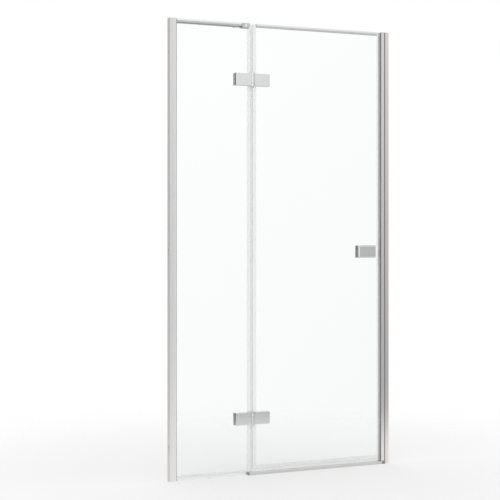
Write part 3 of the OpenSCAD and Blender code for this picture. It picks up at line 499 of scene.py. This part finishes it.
tube_hollow = rounded(box_corners(10.9, 1980.45, 19.1, 1993.15)[::-1], 0.9)
finish_piece(
    "support_bar_tube",
    carried([rounded(box_corners(11, 1980.55, 19, 1993.05), 1.0),
             rounded(box_corners(12.5, 1982.05, 17.5, 1991.55)[::-1], 0.4)],
            rounded_ends(-523.2, -184.2, 0.3), "x"),
    chrome, "frame", "support_bar")
finish_piece(
    "support_bar_sliding_sleeve",
    carried([rounded(box_corners(8.6, 1978.15, 21.4, 1995.45), 1.2), tube_hollow],
            rounded_ends(-234.2, CLAMP_LEFT, 0.5), "x"),
    chrome, "frame", "support_bar_sleeve")
finish_piece(
    "support_bar_wall_bracket",
    together(
        carried([rounded(box_corners(8.3, 1978.15, 21.4, 1995.45), 1.0), tube_hollow],
                rounded_ends(BRACKET_LEFT, -503.5, 0.5), "x"),
        carried([rounded(box_corners(8.3, 1958.15, 14, 1979.15), 0.8),
                 hole(10.4, 1972.15, 1.55), hole(10.4, 1964.15, 1.55)],
                rounded_ends(BRACKET_LEFT, -521, 0.1), "x")),
    chrome, "frame", "support_bar_bracket")

saddle_corners = [(-10, 1977.5), (-4, 1977.5), (-4, 1996.3), (4, 1996.3), (4, 1977.5),
                  (21.4, 1977.5), (21.4, 1999.5), (-10, 1999.5)]
saddle_radii = (1, 0.4, 0.4, 0.4, 0.4, 1, 1.2, 1.2)
finish_piece(
    "support_bar_glass_clamp",
    carried([rounded(saddle_corners, saddle_radii)],
            rounded_ends(CLAMP_LEFT, CLAMP_RIGHT, 1.0), "x"),
    # The clamp's darker colour is painted shade.
    satin_shaded_chrome, "frame", "support_bar_clamp")
dress(trim_aluminium, "clamp_screw")
dress(gasket_rubber, "clamp_pads")
dress(screw_steel, "bracket_screws", "support_grub_screws")

# ---------------------------------------------------------------- hinges
# Two solid chromed hinges at 250 and 1750 mm. Each half is an outer plate and an inner clamp
# plate with the glass between them on rubber pads, drawn up by two countersunk screws. The
# knuckles turn on a steel pin in nylon bushes.

HINGE_X, BARREL_Y = -151.5, -13.0
PLATE_FRONT, PLATE_BACK = -15.7, -4.2
PLATE_REACH, PLATE_HALF_HEIGHT = 83, 27.5
BARREL_HOLLOW = 9.1      # radius of the hollow that a plate leaves for the barrel
BARREL_RADIUS, ARM_RADIUS = 8.5, 8.3
PIN_BORE, BUSH_BORE = 3.55, 5.05

pad_rubber = soft_rubber("dark pad rubber", 0.2)

# Moulded nylon: dull white, faintly mottled.
nylon = surface("white bush nylon", (0.87, 0.87, 0.85), Roughness=0.45)
mottle = grain(nylon, (350, 350, 350))
spread(nylon, mottle, 0.38, 0.55, "Roughness")
tinted(nylon, mottle, 0.03)


def arc(radius, first, last, steps):
    """Points of an arc about the barrel's axis, in degrees: centre + radius (cos t, sin t)."""
    t = np.radians(np.linspace(first, last, steps))
    return np.stack([HINGE_X + radius * np.cos(t), BARREL_Y + radius * np.sin(t)], 1)


def plate_outline(d):
    """Outer plate in X and Y, drawn in by d: two far corners rounded by 1, and at the barrel an
    arc of radius BARREL_HOLLOW + d, cut off where it meets the plate's front and back, which
    move in by d. The angle at either cut is the arcsine of its distance from the axis over the
    radius."""
    near_side = HINGE_X - 20         # gives way to the arc
    block = box_corners(HINGE_X - PLATE_REACH, PLATE_FRONT, near_side, PLATE_BACK)
    far = rounded(block, 1.0)(d)
    corner = len(far) // 4
    radius = BARREL_HOLLOW + d
    front = 180 + np.degrees(np.arcsin((BARREL_Y - PLATE_FRONT - d) / radius))
    back = 180 - np.degrees(np.arcsin((PLATE_BACK - BARREL_Y - d) / radius))
    return np.vstack([far[3 * corner:], far[:corner], arc(radius, front, back, 17)])


def arm_outline(d):
    """Arm of a knuckle, drawn in by d: nearly three quarters of a circle inside the knuckle, run
    out to the inner face and the front face of the plate."""
    reach, inner_face, front_face = HINGE_X - 11.1, -4.7, -14.7
    line = np.vstack([arc(ARM_RADIUS, 191.5, 450, 33), [(reach, inner_face), (reach, front_face)]])
    return line + d * drawn_in(line)


def other_side(outline):
    """The same outline on the leaf's side of the barrel, turned anticlockwise again."""
    return lambda d: (outline(d) * [-1, 1] + [2 * HINGE_X, 0])[::-1]


def barrel_outline(d):
    """Anticlockwise circle of 64 points, centre + (BARREL_RADIUS - d) (cos t, sin t)."""
    t = np.arange(64) * tau / 64
    r = BARREL_RADIUS - d
    return np.stack([HINGE_X + r * np.cos(t), BARREL_Y + r * np.sin(t)], 1)


def knuckle(low, high, bore):
    """Round knuckle between two heights: the barrel's circle and its bore carried along Z, with
    softly rounded rims."""
    return carried([barrel_outline, hole(HINGE_X, BARREL_Y, bore)],
                   rounded_ends(low, high, 0.6), "z")


# Heights of each knuckle and of its arm from the hinge's middle, and the knuckle's bore.
knuckles = {
    "fixed": ((-31.5, -16.5, -26.5, -16.6, PIN_BORE), (16.5, 31.5, 16.6, 26.5, PIN_BORE)),
    "leaf": ((-15.35, 15.35, -15.25, 15.25, BUSH_BORE),),
}
for level, z in (("upper", 1750), ("lower", 250)):
    for side, body in (("fixed", "frame"), ("leaf", "leaf")):
        plate, arm = plate_outline, arm_outline
        if side == "leaf":
            plate, arm = other_side(plate), other_side(arm)
        plate_heights = rounded_ends(z - PLATE_HALF_HEIGHT, z + PLATE_HALF_HEIGHT, 1.0)
        solids = [carried([plate], plate_heights, "z")]
        for low, high, arm_low, arm_high, bore in knuckles[side]:
            solids.append(knuckle(z + low, z + high, bore))
            solids.append(carried([arm], rounded_ends(z + arm_low, z + arm_high, 0.05), "z"))
        finish_piece(
            f"{level}_hinge_{side}_half", together(*solids), chrome,
            body, f"{level}_hinge_{side}_plate")
        dress(chrome, f"{level}_hinge_{side}_clamp")
        dress(pad_rubber, f"{level}_hinge_{side}_pads")
        dress(screw_steel, f"{level}_hinge_{side}_screws")
    dress(screw_steel, f"{level}_hinge_pin")
    dress(nylon, f"{level}_hinge_bushes")

# ---------------------------------------------------------------- sill
# A hollow aluminium strip, 36 mm deep and 13 mm high with sloped edges, stuck down under the
# leaf to keep the water in. Its two ends are closed by caps, painted dark as the shade on them.

sill_aluminium = drawn_aluminium("sill aluminium", "x", (0.66, 0.655, 0.65), 1.0, 0.26, 0.16)
# The caps' dark colour is painted shade on the sill's end faces.
shaded_cap_aluminium = drawn_aluminium(
    "end cap aluminium with painted shade", "x", (0.30, 0.297, 0.295), 1.0, 0.42, 0.3)

sill_outer = [(14, 0), (14, 9.5), (10.5, 13), (-18.5, 13), (-22, 9.5), (-22, 0)]
sill_inner = [(12.5, 1.5), (12.5, 8.88), (9.88, 11.5), (-17.88, 11.5), (-20.5, 8.88),
              (-20.5, 1.5)]
finish_piece(
    "sill_extrusion",
    carried([rounded(sill_outer, 0.8), rounded(sill_inner[::-1], 0.4)],
            rounded_ends(-171.5, 507.2, 0.3), "x"),
    sill_aluminium, "frame", "sill_strip")
dress(shaded_cap_aluminium, "sill_end_caps")

# ---------------------------------------------------------------- strike side
# An aluminium U channel is screwed on through its back. The bright strike profile slides in it
# on its neck, and its broad head holds a magnet strip that meets the leaf. Three screws inside
# lock the two.

RIGHT_MOUNT = 547.5      # the flat back of the right channel
NECK_END, CLOSING_FACE = 23.7, 39.9      # from that back, each 0.1 mm short of the face

upright_aluminium = drawn_aluminium(
    "upright bright aluminium", "z", (0.835, 0.82, 0.815), 1.0, 0.27, 0.17)

# The neck and the closing face beside the magnet are painted dark as shade, and their gloss is
# duller, so the groove beside the channel and the gap beside the leaf read as dark lines.
neck_shade_aluminium = drawn_aluminium(
    "neck aluminium with painted shade", "z", (0.30, 0.295, 0.29), 1.0, 0.55, 0.4, 0.00001)

# Magnet strip: pale grey, powder bound in soft plastic.
magnet_strip = surface("magnet strip", (0.62, 0.62, 0.625), Roughness=0.55)
powder = grain(magnet_strip, (900, 900, 900))
spread(magnet_strip, powder, 0.45, 0.65, "Roughness")
tinted(magnet_strip, powder, 0.03)

strike_corners = [(4, -12.1), (23.8, -12.1), (23.8, -14), (40, -14), (40, -6), (33.7, -6),
                  (33.7, 6), (40, 6), (40, 14), (23.8, 14), (23.8, 12.1), (4, 12.1), (4, 10.6),
                  (23.8, 10.6), (23.8, -10.6), (4, -10.6)]
strike_chamber = [(25.3, -12.5), (25.3, 12.5), (38.5, 12.5), (38.5, 7.5), (32.2, 7.5),
                  (32.2, -7.5), (38.5, -7.5), (38.5, -12.5)]


def from_right_mount(corners):
    """Corners measured leftward from the right channel's back, in the opposite order, so that
    they keep their turn."""
    return (np.array(corners) * [-1, 1] + [RIGHT_MOUNT, 0])[::-1]


strike = finish_piece(
    "strike_extrusion",
    carried([rounded(from_right_mount(strike_corners), 0.4),
             rounded(from_right_mount(strike_chamber), 0.3)],
            rounded_ends(0, PROFILE_TOP, 0.3), "z"),
    upright_aluminium, "frame", "strike_profile")
# Painted shade on the neck in the channel's groove and on the closing face beside the leaf.
two_finishes(
    strike, neck_shade_aluminium,
    lambda middles: (middles[:, 0] > RIGHT_MOUNT - NECK_END)
    | (middles[:, 0] < RIGHT_MOUNT - CLOSING_FACE))
end_cap("right_profile_cap", from_right_mount(box_corners(0, -14, 40, 14)),
        from_right_mount(box_corners(1.8, -10.3, 23.5, 10.3)),
        upright_aluminium, "profile_cap_right")
dress(upright_aluminium, "wall_channel_right")
dress(magnet_strip, "strike_magnet")
dress(screw_steel, "adjusting_screws_right")

# ---------------------------------------------------------------- leaf
# The wide pane is the same glass, with the same trim on its top edge. Clear seals are pushed on
# its hinge edge, its closing edge, where a magnet strip runs in the seal, and its lower edge.

LEVEL_START, LEVEL_END = -129.0, 491.2   # of the trim and the drip seal, between the edge seals
LEAF_SEAL_TOP = 1996

top_edge("leaf", "leaf", LEVEL_START, LEVEL_END)

hinge_edge_corners = [(-149.5, -4.2), (-129.3, -4.2), (-129.3, -3.05), (-148.35, -3.05),
                      (-148.35, 3.05), (-129.3, 3.05), (-129.3, 4.2), (-149.5, 4.2)]
finish_piece("leaf_hinge_edge_seal", cut_seal(hinge_edge_corners, LEAF_SEAL_TOP),
             clear_plastic, "leaf", "leaf_hinge_seal")

closing_corners = [(491.5, -4.2), (506.7, -4.2), (506.7, 4.2), (491.5, 4.2), (491.5, 3.05),
                   (500.55, 3.05), (500.55, -3.05), (491.5, -3.05)]
closing_radii = (0.3, 1.0, 1.0, 0.3, 0.3, 0.3, 0.3, 0.3)
magnet_chamber = box_corners(501.7, -3, 505.5, 3)
finish_piece(
    "leaf_closing_edge_seal",
    carried([rounded(closing_corners, closing_radii), rounded(magnet_chamber[::-1], 0.3)],
            rounded_ends(SEAL_FOOT, LEAF_SEAL_TOP, 0.25), "z"),
    clear_plastic, "leaf", "leaf_magnet_seal")

drip_corners = [(-4.2, 13.4), (-3.4, 13.4), (-3.4, 22.8), (3.4, 22.8), (7.4, 14.6), (8.2, 14.6),
                (4.2, 23.2), (4.2, 41), (3.05, 41), (3.05, 23.95), (-3.05, 23.95), (-3.05, 41),
                (-4.2, 41)]
finish_piece(
    "leaf_lower_edge_seal",
    carried([rounded(drip_corners, 0.25)], rounded_ends(LEVEL_START, LEVEL_END, 0.25), "x"),
    level_plastic, "leaf", "leaf_drip_seal")
dress(pane_glass, "leaf_glass")
dress(magnet_strip, "leaf_magnet")

# ---------------------------------------------------------------- handle
# Two solid chromed blocks, one on each side of the leaf, on clear washers. Two bolts pass
# through the glass, and grub screws under the inner block fix it to them.

SEAT, FACE = 4, 23                       # both blocks' seat and the outer one's face, from y = 0
SEAT_ROUND = 0.4
NEAR_SEAT = 0.1
BEVEL, BEVEL_ROUND = 4.3, 0.8            # breadth of the bevel with its two rounds, their radius


def beveled_block(left, foot, right, head):
    """Block that stands on the glass and faces away from it. Its ring at a distance y from the
    glass is the rounded rectangle drawn in by d: d falls in a small quarter round at the seat,
    stays 0 along the sides, and grows as y does along the bevel, with a small round at either
    end of it."""
    quarter = np.linspace(0, pi / 2, 4)
    eighth = np.linspace(0, pi / 4, 3)
    seat_round = np.stack([SEAT + SEAT_ROUND * (1 - np.cos(quarter)),
                           SEAT_ROUND * (1 - np.sin(quarter))], 1)
    side_round = np.stack([FACE - BEVEL + BEVEL_ROUND * np.sin(eighth),
                           BEVEL_ROUND * (1 - np.cos(eighth))], 1)
    face_round = np.stack([FACE - BEVEL_ROUND * (1 - np.cos(eighth[::-1])),
                           BEVEL - BEVEL_ROUND * np.sin(eighth[::-1])], 1)
    path = np.vstack([[SEAT, SEAT_ROUND + RIM], seat_round, [SEAT + SEAT_ROUND + RIM, 0],
                      [FACE - BEVEL - RIM, 0], side_round, face_round, [FACE, BEVEL + RIM]])
    rings = np.stack([rounded(box_corners(left + d, foot + d, right - d, head - d), 1.0, 5)(0)
                      for d in path[:, 1]])
    return rings, path[:, 0]


# The back of the block, its faces within NEAR_SEAT of the washers, is left as cast, matt and
# pale.
cast_grey, cast_metallic, cast_roughness = (0.62, 0.62, 0.62), 0.3, 0.7
cast_seat = surface("matt cast seat", cast_grey, Metallic=cast_metallic, Roughness=cast_roughness)
casting = grain(cast_seat, (600, 600, 600))
spread(cast_seat, casting, 0.6, 0.8, "Roughness")
tinted(cast_seat, casting, 0.05)
relief(cast_seat, casting, 0.00004)

rings, away = beveled_block(383.7, 956, 474.7, 1012)
handle_block = finish_piece(
    "handle_outer_block", skinned([rings[::-1]], -away[::-1], "y"),
    chrome, "leaf", "handle_outer")
two_finishes(handle_block, cast_seat, lambda middles: middles[:, 1] > -SEAT - NEAR_SEAT)


def mixed(tree, kind, factor, first, second, way="MIX"):
    """Mix node between two colours or two numbers, each of them a link or a value."""
    node = tree.nodes.new("ShaderNodeMix")
    node.data_type = kind
    node.blend_type = way
    for value, socket in ((factor, "Factor"), (first, "A"), (second, "B")):
        put(tree, value, node.inputs[socket])
    return node.outputs["Result"]


# The inner block is a CAD node with the same seat: its chrome turns matt within CAST_DEPTH of the
# face on the washers.
CAST_DEPTH = 0.02
seated_chrome = chrome.copy()
seated_chrome.name = "chrome with matt seat"
tree = seated_chrome.node_tree
spot = tree.nodes.new("ShaderNodeTexCoord")
from_glass = tree.nodes.new("ShaderNodeSeparateXYZ")
tree.links.new(spot.outputs["Object"], from_glass.inputs["Vector"])
at_seat = computed(tree, "LESS_THAN", from_glass.outputs["Y"], (SEAT + CAST_DEPTH) / MM_PER_M)
for socket, kind, cast in (("Base Color", "RGBA", (*cast_grey, 1)),
                           ("Metallic", "FLOAT", cast_metallic),
                           ("Roughness", "FLOAT", cast_roughness)):
    taker = tree.nodes["Principled BSDF"].inputs[socket]
    polished = taker.links[0].from_socket if taker.is_linked else taker.default_value
    tree.links.new(mixed(tree, kind, at_seat, polished, cast), taker)
dress(seated_chrome, "handle_inner")
dress(clear_plastic, "handle_washers")
dress(screw_steel, "handle_bolts", "handle_grub_screws")

# ---------------------------------------------------------------- studio
# A plain pale floor that fades out round the door, in soft white surroundings with three large
# soft lamps. The backdrop is plain white, and only metal and glass mirror a soft shade.

FLOOR_REACH = 6000
FADE_FROM, FADE_TO = 0.8, 2.4            # metres from the door's middle


def seen_directly(tree):
    """One for camera, glossy and transmission rays, and nought for rays that only carry light."""
    rays = tree.nodes.new("ShaderNodeLightPath")
    seen = rays.outputs["Is Camera Ray"]
    for kind in ("Is Glossy Ray", "Is Transmission Ray"):
        seen = computed(tree, "MAXIMUM", seen, rays.outputs[kind])
    return seen


def blended(tree, factor, first, second):
    """Mix Shader node between two shaders."""
    node = tree.nodes.new("ShaderNodeMixShader")
    for value, socket in zip((factor, first, second), node.inputs):
        tree.links.new(value, socket)
    return node.outputs["Shader"]


# Half of what is seen of the floor is its own glow, so it stays pale and the door's shadow faint.
floor_corners = np.array([(-1, -1, 0), (1, -1, 0), (1, 1, 0), (-1, 1, 0)]) * FLOOR_REACH
floor_mesh = bpy.data.meshes.new("floor")
floor_mesh.from_pydata((floor_corners / MM_PER_M).tolist(), [], [(0, 1, 2, 3)])
floor = bpy.data.objects.new("floor", floor_mesh)
bpy.context.scene.collection.objects.link(floor)
floor_paint = bpy.data.materials.new("pale floor")
floor_paint.use_nodes = True
floor_mesh.materials.append(floor_paint)
tree = floor_paint.node_tree
tree.nodes.clear()
matt = tree.nodes.new("ShaderNodeBsdfDiffuse")
matt.inputs["Color"].default_value = (0.82, 0.82, 0.82, 1)
glow = tree.nodes.new("ShaderNodeEmission")
open_air = tree.nodes.new("ShaderNodeBsdfTransparent")
half_seen = computed(tree, "MULTIPLY", seen_directly(tree), 0.5)
pale = blended(tree, half_seen, matt.outputs["BSDF"], glow.outputs["Emission"])
spot = tree.nodes.new("ShaderNodeTexCoord")
reach = tree.nodes.new("ShaderNodeVectorMath")
reach.operation = "LENGTH"
tree.links.new(spot.outputs["Object"], reach.inputs[0])
fading = ranged(tree, reach.outputs["Value"], (FADE_FROM, FADE_TO), (0, 1), "SMOOTHSTEP")
output = tree.nodes.new("ShaderNodeOutputMaterial")
tree.links.new(blended(tree, fading, pale, open_air.outputs["BSDF"]), output.inputs["Surface"])

world = bpy.data.worlds.new("soft white surroundings")
bpy.context.scene.world = world
world.use_nodes = True
tree = world.node_tree
shaded = tree.nodes["Background"]
shaded.inputs["Strength"].default_value = 1.0
backdrop = tree.nodes.new("ShaderNodeBackground")
surroundings = blended(tree, seen_directly(tree), shaded.outputs["Background"],
                       backdrop.outputs["Background"])
tree.links.new(surroundings, tree.nodes["World Output"].inputs["Surface"])

# What lights and is mirrored is pale from a little above the horizon up, and greyer below it.
heading = tree.nodes.new("ShaderNodeTexCoord").outputs["Generated"]
height = tree.nodes.new("ShaderNodeSeparateXYZ")
tree.links.new(heading, height.inputs["Vector"])
rise = ranged(tree, height.outputs["Z"], (-1, 1), (0, 1))
tone = ramped(tree, rise, (0.40, 0.56), ((0.53, 0.53, 0.535), (0.95, 0.95, 0.95)))

# Three places in it are darker and one is brighter. Each has its middle, the two cosines of the
# angle from there between which it sets in, and its brightness.
for middle, onset, brightness in (((-0.6, 0.8, 0.0), (0.80, 0.96), 0.6),
                                  ((-0.259, 0.966, -0.03), (0.957, 0.978), 0.2),
                                  ((0.8, -0.6, -0.1), (0.84, 1.0), 0.54),
                                  ((-0.903, -0.429, -0.05), (0.90, 0.98), 1.35)):
    toward = tree.nodes.new("ShaderNodeVectorMath")
    toward.operation = "DOT_PRODUCT"
    toward.inputs[1].default_value = middle
    tree.links.new(heading, toward.inputs[0])
    shade = ranged(tree, toward.outputs["Value"], onset, (1.0, brightness), "SMOOTHSTEP")
    tone = mixed(tree, "RGBA", 1.0, tone, shade, "MULTIPLY")
tree.links.new(tone, shaded.inputs["Color"])

# The backdrop is white straight on and through glass, and has that shade once it is mirrored.
rays = tree.nodes.new("ShaderNodeLightPath")
mirrored_once = computed(tree, "GREATER_THAN", rays.outputs["Glossy Depth"], 0.5)
white = (1, 1, 1, 1)
tree.links.new(mixed(tree, "RGBA", mirrored_once, white, tone), backdrop.inputs["Color"])

# Square area lamps, all turned towards the middle of the door. They don't show in metal or
# glass, so no hard-edged lamp stands in the panes.
LAMP_SIZE, DOOR_MIDDLE = 3.5, (0, 0, 1)
for name, place, power in (("key lamp", (-3.0, -4.0, 3.8), 34),
                           ("fill lamp", (4.0, -3.0, 2.8), 22),
                           ("rear lamp", (0.5, 4.0, 3.8), 26)):
    light = bpy.data.lights.new(name, "AREA")
    light.size = LAMP_SIZE
    light.energy = power
    holder = bpy.data.objects.new(name, light)
    bpy.context.scene.collection.objects.link(holder)
    holder.visible_glossy = False
    holder.visible_transmission = False
    holder.location = place
    aim = Vector(DOOR_MIDDLE) - Vector(place)
    holder.rotation_euler = aim.to_track_quat("-Z", "Y").to_euler()

# The camera looks level from about 6 m away, turned 25.4 degrees from straight on.
view = bpy.data.cameras.new("camera")
view.sensor_width = 36
view.lens = 97.75
view.shift_y = -0.0503
camera = bpy.data.objects.new("camera", view)
bpy.context.scene.collection.objects.link(camera)
camera.location = (-2.741, -5.438, 1.107)
camera.rotation_euler = (radians(90), 0, radians(-25.40))
bpy.context.scene.camera = camera
bpy.context.scene.view_settings.view_transform = "Standard"
